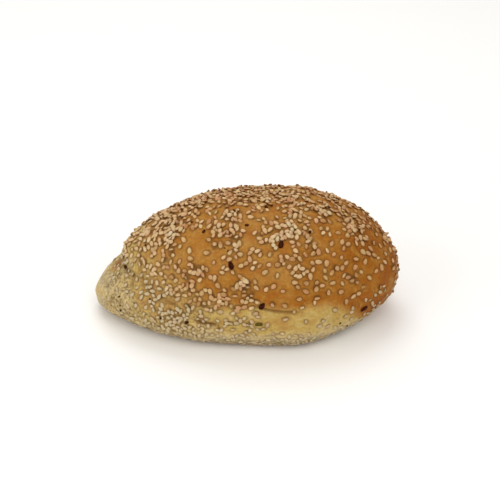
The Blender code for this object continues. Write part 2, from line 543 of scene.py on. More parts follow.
@dataclass(frozen=True)
class Dough:
    """The roll's form, which the solid has too: two lobes, the crease between them, and sagging ends."""

    length: float = 160 * MM
    width: float = 92 * MM
    height: float = 66 * MM
    heart: tuple[float, ...] = mm(0, 0, 20)
    longest_ray: float = 120 * MM
    ray_halvings: int = 26
    # How softly the lobes join, from the nose to the blunt end.
    crease_softness: Rows = ((-0.9, 1.5 * MM), (-0.4, 3 * MM), (0.6, 6 * MM))
    droop_run: float = 26 * MM
    nose_droop: float = 7 * MM
    blunt_end_droop: float = 1.2 * MM
    # How far apart the swellings of the skin are, and how high.
    lumps: Rows = (mm(31, 1.5), mm(12, 0.55))
    # Each lobe's left, widest place, right, front, back, low, waist and top, and how full its plan and section are.
    upper: Lobe = Lobe(*mm(-65.5, 10.5, 80, -43.5, 45.5, -8, 24.5, 66), 1.93, 2.1)
    lower: Lobe = Lobe(*mm(-80, 12, 70, -45.5, 39.5, -6, 16, 38), 2.0, 2.5)

    def ray_directions(self, sphere_points: Places) -> Places:
        """Spreads unit directions over the long roll as evenly as the points are spread over the unit sphere."""
        stretched = sphere_points * np.array((self.length, self.width, self.height))
        return stretched / np.linalg.norm(stretched, axis=1)[:, None]

    def reach(self, lobe: Lobe, directions: Places) -> Values:
        """Finds a lobe's skin by halving.

        Args:
            lobe: The lobe.
            directions: Unit directions from the heart.

        Returns:
            How far its skin is from the heart along each direction.
        """
        near = np.zeros(len(directions))
        far = np.full(len(directions), self.longest_ray)
        for _ in range(self.ray_halvings):
            middle = (near + far) / 2
            inside = lobe.level(np.array(self.heart) + directions * middle[:, None]) < 1
            near = np.where(inside, middle, near)
            far = np.where(inside, far, middle)
        return (near + far) / 2

    def crust_points(self, directions: Places, relief: Rows = ()) -> tuple[Places, Values]:
        """Finds the crust along rays from the heart, with both ends of the roll sagging towards the base.

        Args:
            directions: Unit directions from the heart.
            relief: More swellings than the solid has, as how far apart they are and how high.

        Returns:
            The crust's point along each ray, and how far the upper lobe stands out over the lower one there.
        """
        upper = self.reach(self.upper, directions)
        lower = self.reach(self.lower, directions)
        softness = np.interp(directions[:, 0], *zip(*self.crease_softness))
        share = np.clip(0.5 + 0.5 * (upper - lower) / softness, 0, 1)
        joined = lower * (1 - share) + upper * share + softness * share * (1 - share)
        bare = np.array(self.heart) + directions * joined[:, None]
        lumps = sum(height * noise_at(bare, span) for span, height in (*self.lumps, *relief))
        points = bare + directions * lumps[:, None]
        run = np.clip((np.abs(points[:, 0]) - (self.length / 2 - self.droop_run)) / self.droop_run, 0, None)
        droop = np.where(points[:, 0] < 0, self.nose_droop, self.blunt_end_droop)
        points[:, 2] -= droop * run**2
        return points, upper - lower


@dataclass(frozen=True)
class Fold:
    """A short fold in the skin of the front: where it runs, as x and z seen from the front, and how it looks."""

    start: tuple[float, ...]
    end: tuple[float, ...]
    width: float
    depth: float
    # How dark the fold's painted shade is.
    browning: float
    bow: float

    def strength(self, points: Places) -> Values:
        """How much of the fold is at each point of the crust: 1 along its line, fading to its sides.

        Args:
            points: Places on the crust.

        Returns:
            0 to 1 for each point.
        """
        start, end = np.array(self.start), np.array(self.end)
        run = end - start
        length = np.linalg.norm(run)
        seen = points[:, [0, 2]] - start
        along = np.clip(seen @ run / length**2, 0, 1)
        across = np.array((-run[1], run[0])) / length
        sag = self.bow * 4 * along * (1 - along)
        near = start + along[:, None] * run + sag[:, None] * across
        distance = np.linalg.norm(points[:, [0, 2]] - near, axis=1)
        fade = np.minimum(1, 4 * np.minimum(along, 1 - along) + 0.25)
        return np.where(points[:, 1] < 0, fade * np.exp(-((distance / self.width) ** 2)), 0)


@dataclass
class Crust:
    """The whole skin of the roll, from its browned dome to the sole that it rests on."""

    dough: Dough
    cuts_per_cube_side: int = 63
    finer_cuts: int = 1
    relief: Rows = (mm(5, 0.2), mm(2.3, 0.1))
    sole_height: float = 0.3 * MM
    sole_rounding: float = 1.6 * MM
    sole_unevenness: float = 0.12 * MM
    # The dough bulges or sinks a little more than the lobes do: x, y, z, how far it reaches and how high, in mm.
    swellings: Rows = (
        (-61, -4, 40, 10, 3.0), (-71, 2, 25, 7, -1.6), (-79, -4, 13, 6, 1.3), (53, 2, 58, 10, -1.2),
        (36, 3, 62.5, 12, -1.1),
    )
    # Coarse, mealy dough is rough at this span and height.
    meal_span: float = 1.3 * MM
    meal_height: float = 0.32 * MM
    crease_depth: float = 1.4 * MM
    crease_width: float = 1.1 * MM
    # The second wrinkle at the nose runs where the upper lobe stands out this far.
    wrinkle_margin: float = 3.1 * MM
    wrinkle_width: float = 0.7 * MM
    # Brown comes down to this height in front, and at the blunt end to the base.
    brown_foot: float = 27.5 * MM
    brown_foot_back: float = 15 * MM
    # Left of the middle the pale band of the front widens upwards.
    foot_rises_from: float = -14 * MM
    foot_rises_over: float = 34 * MM
    foot_rise: float = 12 * MM
    foot_falls_from: float = 35 * MM
    foot_falls_over: float = 31 * MM
    # The edge of the brown is soft at the left and crisp under the dome's middle.
    brown_edge_x: tuple[float, ...] = mm(-40, -5, 25, 60)
    brown_edge_softness: tuple[float, ...] = mm(16, 3.4, 2.6, 7)
    # The small ear of dough above the nose, which stood out and scorched.
    ear: tuple[float, ...] = mm(-68.4, -0.4, 27.2)
    ear_radius: float = 4.2 * MM
    # The line of painted contact shade, with some real browning, round each seed is this wide.
    seed_edge_width: float = 0.72 * MM
    # Each fold's start and end, as x and z, its width and depth, its browning (how dark its painted shade is)
    # and how far it bows, with mm lengths.
    folds: tuple[Fold, ...] = tuple(
        Fold(mm(x0, z0), mm(x1, z1), width * MM, depth * MM, browning, bow * MM)
        for x0, z0, x1, z1, width, depth, browning, bow in (
            (3, 28.6, 27, 25.4, 0.8, 1.0, 0.8, -0.8),
            (-27, 19.4, -14.2, 18.2, 1.0, 1.0, 1.0, -0.8),
            (-14.4, 18.3, -14.0, 14.9, 0.8, 0.5, 0.7, 0),
            (7.5, 10.9, 19.4, 14.6, 0.6, 0.6, 0.55, -0.6),
            (-41.5, 26.4, -34.8, 25.6, 0.9, 0.6, 0.6, -0.4),
            (-32.0, 25.6, -26.8, 23.8, 0.6, 0.6, 0.65, 0.3),
            (7.0, 38.9, 12.6, 40.2, 0.6, 0.35, 0.5, -0.5),
            (-60.0, 32.5, -58.6, 25.5, 0.9, 0.8, 0.55, 0.4),
            (-54.6, 36.0, -52.8, 27.4, 0.9, 0.7, 0.5, 0.5),
        )
    )
    piece: bpy.types.Object = field(init=False)

    def build(self) -> None:
        """Makes the crust from a finely gridded cube blown up to the dough's form, and marks its points."""
        deselect_all()
        bpy.ops.mesh.primitive_cube_add(size=2)
        self.piece = bpy.context.object
        self.piece.name = "crust"
        bpy.ops.object.mode_set(mode="EDIT")
        bpy.ops.mesh.select_all(action="SELECT")
        bpy.ops.mesh.subdivide(number_cuts=self.cuts_per_cube_side)
        bpy.ops.mesh.subdivide(number_cuts=self.finer_cuts)
        bpy.ops.object.mode_set(mode="OBJECT")
        # The tangent evens out the squares, which would crowd at the cube's corners.
        sphere = np.tan(points_of(self.piece) * math.pi / 4)
        sphere /= np.linalg.norm(sphere, axis=1)[:, None]
        directions = self.dough.ray_directions(sphere)
        points, margin = self.dough.crust_points(directions, self.relief)
        creasing = self.creasing(points, margin)
        folding = [fold.strength(points) for fold in self.folds]
        dents = self.crease_depth * creasing
        dents += sum(fold.depth * strength for fold, strength in zip(self.folds, folding))
        dents -= sum(
            height * MM * nearness(points, mm(x, y, z), radius * MM) for x, y, z, radius, height in self.swellings
        )
        dents -= self.meal_height * self.graining(points) * noise_at(points, self.meal_span)
        points = self.rested(points - directions * dents[:, None])
        set_points(self.piece, points)
        # The folds and the nose's crease darken the crust with painted shade.
        fold_shade = 0.45 * creasing
        for fold, strength in zip(self.folds, folding):
            fold_shade = np.maximum(fold_shade, fold.browning * strength)
        set_mark(self.piece, Mark.FOLD, np.clip(fold_shade, 0, 1))
        set_mark(self.piece, Mark.BAKE, self.baking(points))
        set_mark(self.piece, Mark.SOLE, 1 - smooth_step(points[:, 2], 0.6 * MM, 2.2 * MM))
        set_mark(self.piece, Mark.GRAIN, self.graining(points))

    def surface(self) -> BVHTree:
        """The crust as a tree that finds places on it."""
        return BVHTree.FromObject(self.piece, bpy.context.evaluated_depsgraph_get())

    def behind(self, spots: Iterable[tuple[float, float]]) -> tuple[Places, Places]:
        """Finds the crust behind places on the front.

        Args:
            spots: Each place's x and z.

        Returns:
            The crust's points there, and its normals.
        """
        surface = self.surface()
        hits = [surface.ray_cast(Vector((x, -1, z)), Vector((0, 1, 0))) for x, z in spots]
        return np.array([hit[0] for hit in hits]), np.array([hit[1] for hit in hits])

    def creasing(self, points: Places, margin: Values) -> Values:
        """How much of the nose's crease, and of the wrinkle beside it, is at each point.

        Args:
            points: Places on the crust.
            margin: How far the upper lobe stands out over the lower one there.

        Returns:
            0 to 1 for each point.
        """
        at_nose = 1 - smooth_step(points[:, 0], -62 * MM, -50 * MM)
        crease = np.exp(-((margin / self.crease_width) ** 2))
        wrinkle = np.exp(-(((margin - self.wrinkle_margin) / self.wrinkle_width) ** 2))
        in_front = 1 - smooth_step(points[:, 1], -16 * MM, -8 * MM)
        broken = smooth_step(noise_at(points, 7 * MM), -0.35, 0.2)
        shown = smooth_step(points[:, 1], -24 * MM, -12 * MM)
        return at_nose * (crease * (0.25 + 0.75 * shown) + 0.5 * wrinkle * in_front) * (0.35 + 0.65 * broken)

    def rested(self, points: Places) -> Places:
        """Flattens all that is below the sole onto it, with a rounded edge.

        Args:
            points: Places on the crust, which are changed.

        Returns:
            The points, resting on the sole.
        """
        sole = self.sole_height + self.sole_unevenness * noise_at(points * (1, 1, 0), 9 * MM)
        over = points[:, 2] - sole
        points[:, 2] = sole + (over + np.sqrt(over**2 + self.sole_rounding**2)) / 2
        return points

    def baking(self, points: Places) -> Values:
        """How browned the crust is, with painted shade darkening the foot.

        Args:
            points: Places on the crust.

        Returns:
            0 for pale dough to 1 for deep brown, for each point.
        """
        x, y, z = points.T
        fall = np.clip((x - self.foot_falls_from) / self.foot_falls_over, 0, 1)
        at_back = smooth_step(y, -15 * MM, 25 * MM)
        foot = (self.brown_foot + (self.brown_foot_back - self.brown_foot) * at_back) * (1 - fall**2)
        foot += self.foot_rise * (1 - at_back) * np.clip((self.foot_rises_from - x) / self.foot_rises_over, 0, 1)
        foot += 2.2 * MM * noise_at(points, 17 * MM)
        softness = np.interp(x, self.brown_edge_x, self.brown_edge_softness)
        from_foot = smooth_step((z - foot) / softness, -0.6, 1.0)
        from_nose = smooth_step(x - 0.35 * y, -66 * MM, -32 * MM)
        to_blunt_end = smooth_step(x, 25 * MM, 74 * MM)
        near_foot = np.exp(-(((z - foot) / (9 * MM)) ** 2)) * smooth_step(x, -20 * MM, 15 * MM)
        body = 0.63 + 0.2 * to_blunt_end + 0.1 * near_foot
        band = smooth_step(x, -66 * MM, -10 * MM) * smooth_step(z, 7 * MM, 19 * MM)
        # Painted shade: the dough darkens and greys towards the base, less at the left.
        foot_shade = (1 - smooth_step(z, 5 * MM, 14 * MM)) * (0.3 + 0.7 * smooth_step(x, -32 * MM, -6 * MM))
        dough = 0.1 - 0.08 * foot_shade + 0.17 * band + 0.27 * self.cheek(points)
        patches = 0.1 * noise_at(points, 15 * MM) + 0.05 * noise_at(points, 5 * MM)
        browned = dough + (body - dough) * from_foot * (0.1 + 0.9 * from_nose) + patches * from_foot
        return np.clip(browned + self.scorching(points), 0, 1)

    def cheek(self, points: Places) -> Values:
        """How near each point is to the golden cheek between the nose and the dome, from 0 to 1."""
        x, _, z = points.T
        return np.exp(-(((x + 46 * MM) / (15 * MM)) ** 2) - ((z - 27 * MM) / (11 * MM)) ** 2)

    def scorching(self, points: Places) -> Values:
        """How far the ear's scorch reaches, from 0 to 1 for each point."""
        return nearness(points, self.ear, self.ear_radius)

    def flouring(self, points: Places) -> Values:
        """How floury the crust and its seeds are: 1 on the nose, its cheek and the foot, 0 on the browned dome."""
        edge = 24 * MM + 11 * MM * (1 - smooth_step(points[:, 0], -58 * MM, -22 * MM))
        return 1 - smooth_step(points[:, 2] - edge, -5 * MM, 7 * MM)

    def graining(self, points: Places) -> Values:
        """How coarse and mealy the dough is: most on the nose and the low left of the front, and along the foot.

        Args:
            points: Places on the crust.

        Returns:
            0 to 1 for each point.
        """
        x, y, z = points.T
        off_tip = smooth_step(x, -81 * MM, -69 * MM)
        low_left = self.flouring(points) * (1 - smooth_step(x, -34 * MM, -4 * MM)) * off_tip
        foot = 0.8 * (1 - smooth_step(z, 5 * MM, 10 * MM)) * (1 - smooth_step(x, 24 * MM, 42 * MM))
        bare = (1 - 0.8 * self.scorching(points)) * (1 - 0.75 * self.cheek(points))
        return np.maximum(low_left, foot) * bare * (1 - 0.5 * smooth_step(y, -5 * MM, 15 * MM))

    def covering(self, points: Places) -> Values:
        """How far the nose's smooth dough has risen over its seeds, from 0 to 1 for each point."""
        x, _, z = points.T
        return (1 - smooth_step(x, -68 * MM, -57 * MM)) * (1 - smooth_step(z, 21 * MM, 27 * MM))

    def mark_seed_edges(self, seeds: "SeedBatch") -> None:
        """Writes the thin line of painted contact shade, with some real browning, round every seed.

        Args:
            seeds: The seeds that lie on the crust.
        """
        points = points_of(self.piece)
        finder = KDTree(len(points))
        for i, point in enumerate(points):
            finder.insert(point, i)
        finder.balance()
        edge = np.zeros(len(points))
        for centre, axes, size in zip(seeds.points, seeds.axes, seeds.sizes):
            reach = size / 2 + self.seed_edge_width
            near = [found[1] for found in finder.find_range(Vector(centre), float(reach[0]))]
            if not near:
                continue
            seen = points[near] - centre
            edge[near] += 1 - smooth_step(np.hypot(seen @ axes[0] / reach[0], seen @ axes[1] / reach[1]), 0.75, 1.0)
        # The painted shade adds up where rings overlap, so it is darkest in the gaps of a crowd, and it is faint
        # along the foot and where the dough covers the seeds.
        foot = 1 - smooth_step(points[:, 2], 8 * MM, 18 * MM)
        strength = (0.68 - 0.1 * self.flouring(points)) * (1 - 0.45 * foot) * (1 - 0.8 * self.covering(points))
        set_mark(self.piece, Mark.SEED_EDGE, np.clip(edge * strength, 0, 1))


@dataclass
class SeedBatch:
    """Many seeds as arrays: where each lies, how it is turned, its size and its tone."""

    points: Places
    normals: Places
    turns: Values
    tilts: Values
    rolls: Values
    sizes: Places
    rises: Values
    tones: Values
    flours: Values
    axes: Places = field(init=False)

    def __post_init__(self) -> None:
        """Works out each seed's own axes: along it, across it and out of the crust."""
        helper = np.where(np.abs(self.normals[:, 2:3]) > 0.9, (1.0, 0.0, 0.0), (0.0, 0.0, 1.0))
        level = np.cross(helper, self.normals)
        level /= np.linalg.norm(level, axis=1)[:, None]
        other = np.cross(self.normals, level)
        turn, tilt, roll = (angles[:, None] for angles in (self.turns, self.tilts, self.rolls))
        flat_along = level * np.cos(turn) + other * np.sin(turn)
        flat_across = np.cross(self.normals, flat_along)
        along = flat_along * np.cos(tilt) + self.normals * np.sin(tilt)
        up = self.normals * np.cos(tilt) - flat_along * np.sin(tilt)
        across = flat_across * np.cos(roll) + up * np.sin(roll)
        up = up * np.cos(roll) - flat_across * np.sin(roll)
        self.axes = np.stack((along, across, up), axis=1)

    def chosen(self, keep: Values) -> "SeedBatch":
        """The seeds for which keep is true, as a batch of their own."""
        return SeedBatch(*(getattr(self, one.name)[keep] for one in fields(self) if one.init))


@dataclass(frozen=True)
class SeedShape:
    """One kind of seed, modelled once: a flat teardrop with its pointed end at +X."""

    sides: int
    rings: int
    taper: float

    def model(self) -> bpy.types.Object:
        """Models the seed at a length, width and thickness of 1.

        Returns:
            The seed's object, with its poles at its two ends.
        """
        deselect_all()
        bpy.ops.mesh.primitive_uv_sphere_add(segments=self.sides, ring_count=self.rings, radius=0.5)
        seed = bpy.context.object
        seed.name = "one_seed"
        bpy.ops.object.mode_set(mode="EDIT")
        bpy.ops.mesh.select_all(action="SELECT")
        bpy.ops.transform.rotate(value=math.pi / 2, orient_axis="Y", center_override=(0, 0, 0))
        bpy.ops.object.mode_set(mode="OBJECT")
        apply_modifier(seed, "SIMPLE_DEFORM", deform_method="TAPER", deform_axis="X", factor=-self.taper)
        points = points_of(seed)
        points -= (points.max(axis=0) + points.min(axis=0)) / 2
        points /= points.max(axis=0) - points.min(axis=0)
        set_points(seed, points)
        return seed


def joined_copies(name: str, model: bpy.types.Object, seeds: SeedBatch) -> bpy.types.Object:
    """Copies a model to every place of a batch, as one mesh, and removes the model.

    Args:
        name: The piece's name.
        model: The object to copy, 1 long, wide and thick.
        seeds: The places, turns, sizes and tones.

    Returns:
        The new piece, with its marks written at its points.
    """
    shape = points_of(model)
    count = len(seeds.points)
    lifted = seeds.points + seeds.axes[:, 2] * (seeds.rises * seeds.sizes[:, 2])[:, None]
    sized = shape[None] * seeds.sizes[:, None]
    points = (sized @ seeds.axes + lifted[:, None]).reshape(-1, 3)
    starts = np.arange(count) * len(shape)
    corners = [np.add.outer(starts, np.array(face.vertices)).tolist() for face in model.data.polygons]
    mesh = bpy.data.meshes.new(name)
    mesh.from_pydata(points.tolist(), [], [row for rows in corners for row in rows])
    piece = bpy.data.objects.new(name, mesh)
    bpy.context.scene.collection.objects.link(piece)
    set_mark(piece, Mark.TONE, np.repeat(seeds.tones, len(shape)))
    set_mark(piece, Mark.FLOUR, np.repeat(seeds.flours, len(shape)))
    set_mark(piece, Mark.CROWN, np.tile(shape[:, 2] * 2, count))
    set_mark(piece, Mark.TIP, np.tile(shape[:, 0] * 2, count))
    bpy.data.objects.remove(model, do_unlink=True)
    return piece


@dataclass
class Sesame:
    """All the sesame on the roll: the even ones that the solid has too, and the thick of them by zone."""

    crust: Crust
    # Places that are kept free of sesame, for other seeds and the herb.
    clear: Places
    clear_radius: float = 2.7 * MM
    length: float = 3.25 * MM
    width: float = 2.35 * MM
    thickness: float = 1.15 * MM
    size_spread: float = 0.17
    # Seeds that flour and dough half cover show this much smaller.
    covered_size: float = 0.85
    shape: SeedShape = SeedShape(sides=8, rings=7, taper=0.42)
    # The first seeds, at the places that the solid's seeds have.
    even_spacing: float = 8.2 * MM
    even_candidates: int = 2600
    even_tilt: float = math.radians(7)
    even_rise: float = 0.12
    lowest: float = 5 * MM
    even_random_seed: int = 41
    # The rest of the seeds. More are drawn than wanted, because those that fall too close are dropped.
    thickest_per_cm2: float = 60
    overdraw: float = 1.35
    closest: float = 1.5 * MM
    farthest: float = 3.3 * MM
    evenness: float = 0.72
    random_seed: int = 958
    clump_span: float = 8 * MM
    clump_strength: tuple[float, float] = (0.35, 0.7)
    # Where the seeds are thick, some are piled on others.
    crowded_per_cm2: float = 28
    piled_share: float = 0.55
    piled_tilt: float = math.radians(30)
    lying_tilt: float = math.radians(11)
    roll: float = math.radians(12)
    # How thickly the seeds lie: x, y and z in mm, and how many there are to a square centimetre round there.
    zones: Rows = (
        (0, 6, 66, 26), (-35, 2, 55, 32), (42, 4, 60, 22), (0, -14, 63, 15), (66, 6, 45, 13), (0, 40, 42, 14),
        (45, 33, 35, 12), (-45, 28, 30, 14), (0, 42, 12, 12), (79, 0, 25, 6), (50, -28, 45, 6), (60, -22, 28, 3),
        (20, -30, 55, 7.5), (5, -40, 42, 7.5), (30, -38, 40, 7.5), (-22, -33, 45, 6), (-20, -24, 55, 8),
        (-48, -22, 38, 13), (-62, 2, 36, 18), (-28, -39, 28, 14), (-38, -38, 14, 23), (-8, -44, 13, 13),
        (26, -42, 5, 30), (0, -43, 4, 28), (20, -45, 20, 0.8), (40, -40, 16, 1.2), (24, -43, 31, 4.5),
        (-79, -4, 14, 0), (-72, -13, 18, 0.3), (-70, 14, 18, 3), (-64, -23, 12, 3), (-52, -30, 17, 13),
        (62, -24, 10, 5),
    )
    # Heaps: x, y, z and reach in mm, how many times thicker the seeds lie there, and how floury they are.
    heaps: Rows = (
        (21, -22, 60, 4.5, 5, 0.7), (14, -28, 56, 3.5, 4, 0.7), (39, -6, 62, 5, 2.6, 0.3),
        (54, -11, 55, 5, 2.4, 0.1), (26, -38, 45, 4.5, 3.5, 0.3), (17.5, -35, 50, 3.5, 3, 0.1),
        (-8, -14, 63.5, 4.5, 3, 0.2), (-12, -22, 59, 4.5, 3, 0.2), (-6, -30, 54, 3.5, 3, 0.5),
        (26, -1, 65, 5, 2, 0.1), (-22, -33, 44, 3.5, 3.2, 0.1), (-27, -33, 41, 3.5, 2.5, 0.1),
        (64, -23, 12, 4, 3.5, 0.1), (53, -31, 36.5, 4, 2.6, 0.1), (68, -23, 26, 4, 3.2, 0.1),
        (-39, -9, 55, 5, 2, 0.1), (-37, -15, 53, 3, 4, 0.8), (-32, -40, 20, 4.5, 2, 0.1),
        (31, -25, 56, 4, 2.6, 0.1), (35, -33, 48, 3.5, 2.6, 0.1), (-2, -40.5, 39, 4, 3.5, 0.1),
        (5, -34, 52, 4, 2.2, 0.1), (1, -42, 32, 2.5, 3, 0.1), (-13, -41, 30, 3, 3, 0.1),
        (-9, -36.5, 45.5, 4, 2, 0.1), (-17, -38, 37, 4, 2.2, 0.1), (58, -17, 50, 3.5, 2.5, 0.3),
    )
    # Bare patches: x, y, z and reach in mm, and the share of the seeds that is left there.
    bare_patches: Rows = (
        (-26, -21, 55, 4.5, 0.1), (-2, -10, 65, 4.5, 0.1), (1.5, -21, 62, 5, 0.15), (-22, -29, 50, 5, 0.1),
        (-6, -41.5, 32, 3.5, 0.1), (8.5, -42, 36, 4.5, 0.1), (-12, -42, 25, 3.5, 0.2), (27, -42, 29, 4, 0.2),
        (44, -37, 27, 6, 0.1), (34, -42, 21, 6, 0.1), (67, -15, 43, 6, 0.1), (70, -21, 33, 4, 0.15),
        (14, -44, 18, 7, 0.1), (32, -42, 17, 7, 0.1), (43, -34, 41, 3.5, 0.2), (38, -39.5, 28.5, 4, 0.3),
        (13.5, -12, 64, 4.5, 0.3), (57, 4, 56, 4, 0.4), (45, -13, 58, 3.5, 0.4), (-57, -28, 22, 4, 0.3),
        (-67, -1, 28, 3.5, 0.25),
    )
    # The hulls of the toasted and of the floured seeds.
    hulls: tuple[SesameHull, SesameHull] = (
        SesameHull(
            name="toasted_sesame_hull",
            shades=("a5723a", "b78953", "c49b68", "d5b282"),
            edge="844f1a",
            floury="ccb891",
        ),
        SesameHull(
            name="floured_sesame_hull",
            shades=("9f7f4f", "af9164", "bea47b", "ccb489"),
            edge="866a40",
            floury="bbaa86",
        ),
    )

    def density(self, points: Places) -> Values:
        """How many seeds there are to a square metre, from the zones round each point.

        Args:
            points: Places on the crust.

        Returns:
            The number for each point.
        """
        zones = np.array(self.zones)
        distances = np.linalg.norm(points[:, None] - zones[None, :, :3] * MM, axis=2)
        weights = 1 / (distances + 2 * MM) ** 4
        evenly = (weights * (zones[:, 3] / CM2)).sum(axis=1) / weights.sum(axis=1)
        clumps = noise_at(points, self.clump_span) + 0.5 * noise_at(points + 1, self.clump_span / 2)
        in_front, at_back = self.clump_strength
        strength = in_front + (at_back - in_front) * smooth_step(points[:, 1], 0, 20 * MM)
        number = evenly * np.exp(strength * clumps - 0.08)
        for x, y, z, radius, factor, *_ in (*self.heaps, *self.bare_patches):
            number *= 1 + (factor - 1) * nearness(points, mm(x, y, z), radius * MM)
        for place in self.clear:
            number *= np.linalg.norm(points - place, axis=1) > self.clear_radius
        for fold in self.crust.folds:
            number *= 1 - 0.9 * fold.strength(points)
        return number

    def even_places(self) -> tuple[Places, Values, Values, Values]:
        """Repeats the rule that places the solid's seeds.

        Returns:
            Where the seeds lie, and each one's scale, turn and tilt.
        """
        draw = np.random.default_rng(self.even_random_seed)
        sphere = draw.normal(size=(self.even_candidates, 3))
        sphere /= np.linalg.norm(sphere, axis=1)[:, None]
        points, _ = self.crust.dough.crust_points(self.crust.dough.ray_directions(sphere))
        scales = 1 + self.size_spread * draw.uniform(-1, 1, self.even_candidates)
        turns = draw.uniform(0, 2 * math.pi, self.even_candidates)
        tilts = draw.uniform(-self.even_tilt, self.even_tilt, self.even_candidates)
        spacings = np.full(len(points), self.even_spacing)
        kept = self.spaced(points, spacings, points[:, 2] > self.lowest, np.empty((0, 3)))
        return points[kept], scales[kept], turns[kept], tilts[kept]

    @staticmethod
    def spaced(points: Places, spacings: Values, allowed: Values, taken: Places) -> list[int]:
        """Keeps points in order, and drops each that falls too close to one already kept.

        Args:
            points: The candidates.
            spacings: How far each candidate must be from the kept ones.
            allowed: Whether each candidate may be kept at all.
            taken: Points that are kept beforehand.

        Returns:
            The indices of the kept candidates.
        """
        kept = np.concatenate((taken, points))
        count = len(taken)
        chosen = []
        for i in np.flatnonzero(allowed):
            if count and np.linalg.norm(kept[:count] - points[i], axis=1).min() <= spacings[i]:
                continue
            kept[count] = points[i]
            count += 1
            chosen.append(int(i))
        return chosen

    def scattered(self, draw: np.random.Generator, taken: Places) -> Places:
        """Draws the places of the other seeds, thick or thin by zone.

        Args:
            draw: The random generator.
            taken: Where seeds lie already.

        Returns:
            The new places.
        """
        faces = self.crust.piece.data.polygons
        centres = np.empty(len(faces) * 3)
        areas = np.empty(len(faces))
        faces.foreach_get("center", centres)
        faces.foreach_get("area", areas)
        count = int(areas.sum() * self.thickest_per_cm2 / CM2)
        centres = centres.reshape(-1, 3)[draw.choice(len(areas), count, p=areas / areas.sum())]
        density = self.density(centres)
        wanted = draw.uniform(0, self.thickest_per_cm2 / CM2, count) < density * self.overdraw
        on_side = centres[:, 2] > 2.2 * MM
        shrink = 1 - (1 - self.covered_size) * self.crust.flouring(centres)
        spacings = np.clip(self.evenness / np.sqrt(density + 1), self.closest * shrink, self.farthest)
        spacings *= 1 + 0.25 * draw.uniform(-1, 1, count)
        return centres[self.spaced(centres, spacings, wanted & on_side, taken)]

    def batch(self) -> SeedBatch:
        """Lays every seed on the crust.

        Returns:
            All the seeds.
        """
        draw = np.random.default_rng(self.random_seed)
        even_points, even_scales, even_turns, even_tilts = self.even_places()
        more_points = self.scattered(draw, even_points)
        more = len(more_points)
        bumped = draw.random(more)
        surface = self.crust.surface()
        found = [surface.find_nearest(Vector(point)) for point in (*even_points, *more_points)]
        points = np.array([place for place, _, _, _ in found])
        normals = np.array([normal for _, normal, _, _ in found])
        count = len(points)
        crowd = np.clip(self.density(more_points) * CM2 / self.crowded_per_cm2, 0, 1)
        piled = (bumped < self.piled_share * crowd) & (more_points[:, 2] > 20 * MM)
        tilts = draw.normal(0, 1, more) * np.where(piled, self.piled_tilt, self.lying_tilt)
        rises = np.where(piled, draw.uniform(0.3, 0.75, more), draw.uniform(-0.15, 0.3, more))
        rises -= 0.15 * (1 - smooth_step(more_points[:, 2], 4 * MM, 22 * MM))
        scales = 1 + self.size_spread * draw.uniform(-1.3, 0.8, more)
        stretch = draw.uniform(0.9, 1.1, (count, 3))
        sizes = np.concatenate((even_scales, scales))[:, None] * (self.length, self.width, self.thickness) * stretch
        flouring = self.crust.flouring(points)
        covering = self.crust.covering(points)
        sizes *= (1 - (1 - self.covered_size) * flouring)[:, None]
        rises = np.concatenate((np.full(len(even_points), self.even_rise), rises)) - 0.35 * covering
        paler_left = 0.22 * (1 - smooth_step(points[:, 0], -52 * MM, -28 * MM))
        browner_right = 0.2 * smooth_step(points[:, 0], 22 * MM, 55 * MM)
        tones = np.clip(draw.normal(0.45, 0.3, count) + paler_left - browner_right, 0, 1)
        foot = 1 - smooth_step(points[:, 2], 7 * MM, 14 * MM)
        flours = 0.7 * flouring * draw.uniform(0.4, 1, count) + 0.3 * foot + 0.5 * covering + 1.3 * paler_left
        flours[len(even_points) :] += 0.4 * piled * draw.random(more)
        for x, y, z, radius, _, flour in self.heaps:
            flours += flour * nearness(points, mm(x, y, z), radius * MM)
        turns = np.concatenate((even_turns, draw.uniform(0, 2 * math.pi, more)))
        tilts = np.concatenate((even_tilts, tilts))
        rolls = draw.normal(0, self.roll, count)
        return SeedBatch(points, normals, turns, tilts, rolls, sizes, rises, tones, np.clip(flours, 0, 1))

    def build(self) -> None:
        """Makes one piece of each kind of sesame, and paints contact shade, with some browning, round every seed."""
        seeds = self.batch()
        self.crust.mark_seed_edges(seeds)
        pale = self.crust.flouring(seeds.points) > 0.5
        for kind, wanted, hull in zip(SeedKind, (~pale, pale), self.hulls):
            chosen = seeds.chosen(wanted)
            dress(joined_copies(kind.value, self.shape.model(), chosen), hull.material())
            LOG.info("%s: %d seeds", kind.value, len(chosen.points))


@dataclass
class FrontScatter:
    """Small things of one kind that are placed one by one on the front of the crust."""

    crust: Crust
    name: str
    # Each one's x and z in mm, seen from the front, its turn in degrees and its length in mm.
    places: Rows
    # Its width and its thickness, for a length of 1.
    flatness: tuple[float, float]
    shape: SeedShape
    finish: Finish
    rise: float = 0.15

    def found(self) -> tuple[Places, Places]:
        """The crust behind each place, as points and normals."""
        return self.crust.behind(mm(x, z) for x, z, _, _ in self.places)

    def build(self) -> None:
        """Lays a copy of the shape on the crust at each place, and dresses the piece that holds them all."""
        points, normals = self.found()
        _, _, turns, lengths = np.array(self.places).T
        level = np.zeros(len(points))
        batch = SeedBatch(
            points=points,
            normals=normals,
            turns=np.radians(turns),
            tilts=level,
            rolls=level,
            sizes=lengths[:, None] * MM * (1, *self.flatness),
            rises=level + self.rise,
            tones=level,
            flours=level,
        )
        dress(joined_copies(self.name, self.shape.model(), batch), self.finish.material())


@dataclass
class Linseeds(FrontScatter):
    """The four linseeds on the front, which the solid has too."""

    name: str = "linseeds"
    places: Rows = ((16.7, 55.7, 75, 4.4), (-7.8, 47.7, 115, 4.4), (7.4, 29.0, 60, 4.4), (59.4, 17.7, 20, 4.4))
    flatness: tuple[float, float] = (2.6 / 4.4, 1.5 / 4.4)
    shape: SeedShape = SeedShape(sides=14, rings=11, taper=0.45)
    finish: Finish = DarkHull(name="brown_linseed_hull", dark="200700", light="4a1a04", roughness=0.5, glance=0.06)


